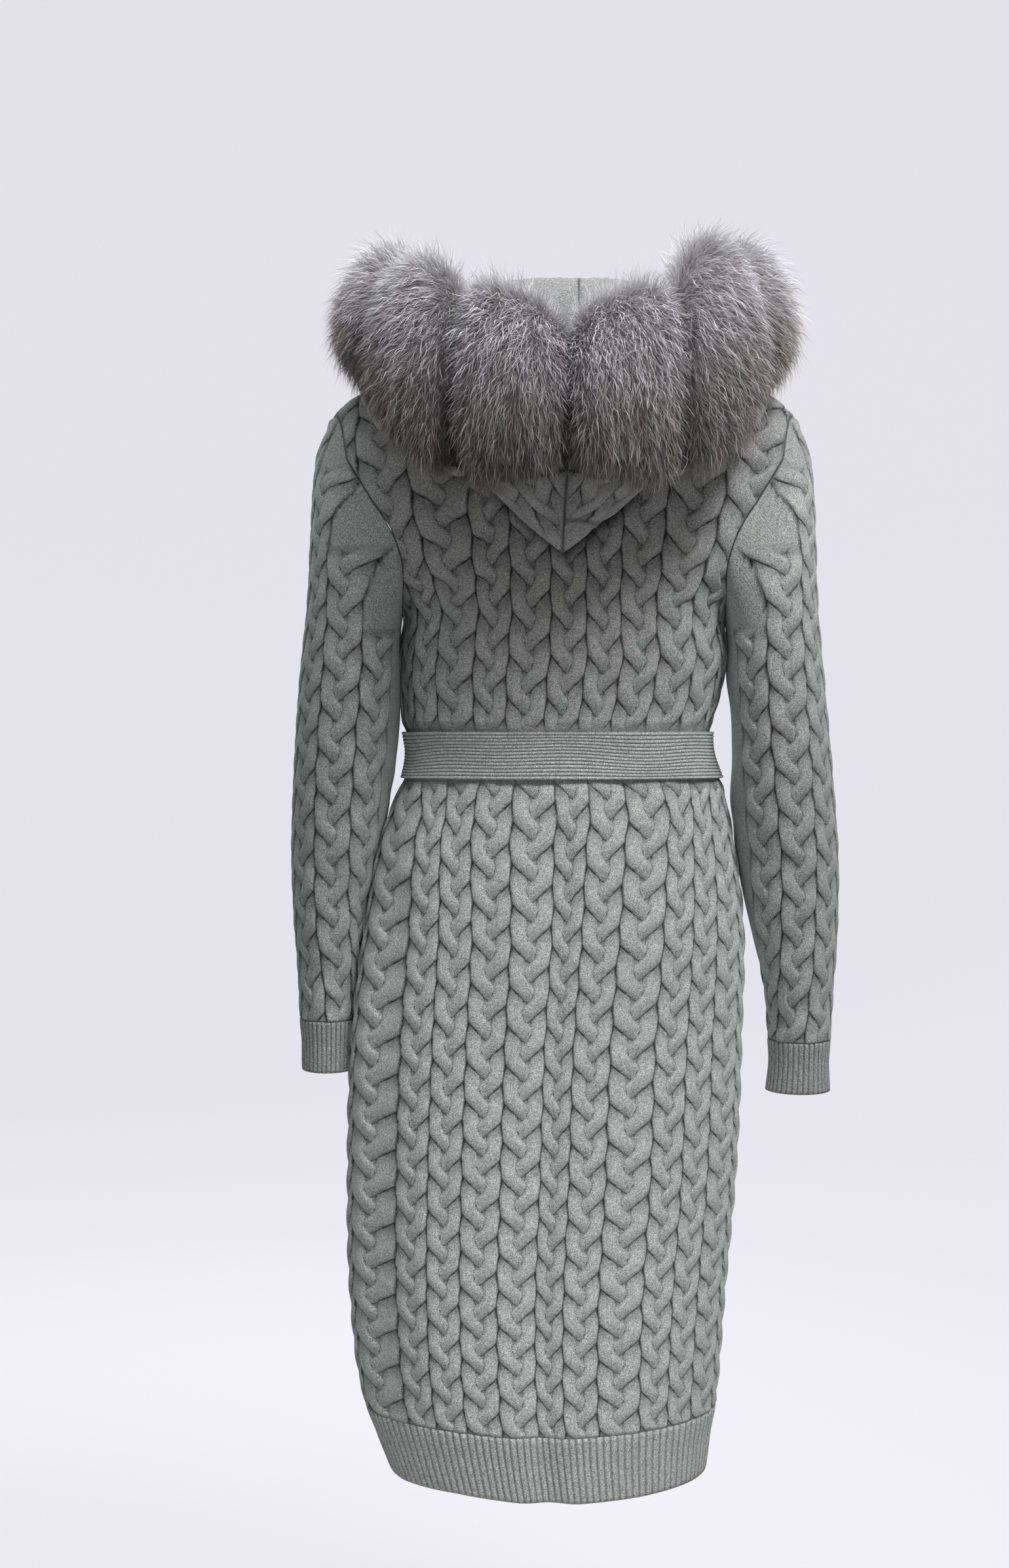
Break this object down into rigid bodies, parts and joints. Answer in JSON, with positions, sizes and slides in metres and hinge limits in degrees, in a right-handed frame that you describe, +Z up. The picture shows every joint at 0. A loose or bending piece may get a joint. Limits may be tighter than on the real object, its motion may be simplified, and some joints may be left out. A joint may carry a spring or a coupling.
{
  "type": "hooded cardigan, held up where the wearer's neck and shoulders carry it",
  "caption": "Long cable-knit cardigan with a fur-trimmed hood worn down, set-in sleeves and a tie belt, in its hollow worn shape.",
  "frame": {"origin": "middle of the neck opening at the height of the shoulders, where the wearer holds the garment up", "axes": "+Z up, the wearer's back faces +Y, the wearer's left arm is at +X"},
  "size_m": [0.5557, 0.3917, 1.2431],
  "materials": {
    "knit": "heather-grey wool blend in three-strand cable knit, matt and slightly fuzzy",
    "rib": "heather-grey wool blend in rib knit, matt",
    "fur": "dense long-haired fur, blue-grey with paler tips, soft sheen"
  },
  "bodies": {
    "root": {"back": "knit", "front_left": "knit", "front_right": "knit", "sleeve_left_upper": "knit", "sleeve_left_lower": "knit", "sleeve_right_upper": "knit", "sleeve_right_lower": "knit", "hood_left": "knit", "hood_right": "knit", "cuff_left": "rib", "cuff_right": "rib", "hem_back": "rib", "hem_front_left": "rib", "hem_front_right": "rib", "belt_band": "rib", "belt_knot": "rib", "belt_end_left": "rib", "belt_end_right": "rib", "fur_left_1": "fur", "fur_left_2": "fur", "fur_left_3": "fur", "fur_left_4": "fur", "fur_left_5": "fur", "fur_right_1": "fur", "fur_right_2": "fur", "fur_right_3": "fur", "fur_right_4": "fur", "fur_right_5": "fur"}
  },
  "joints": []
}
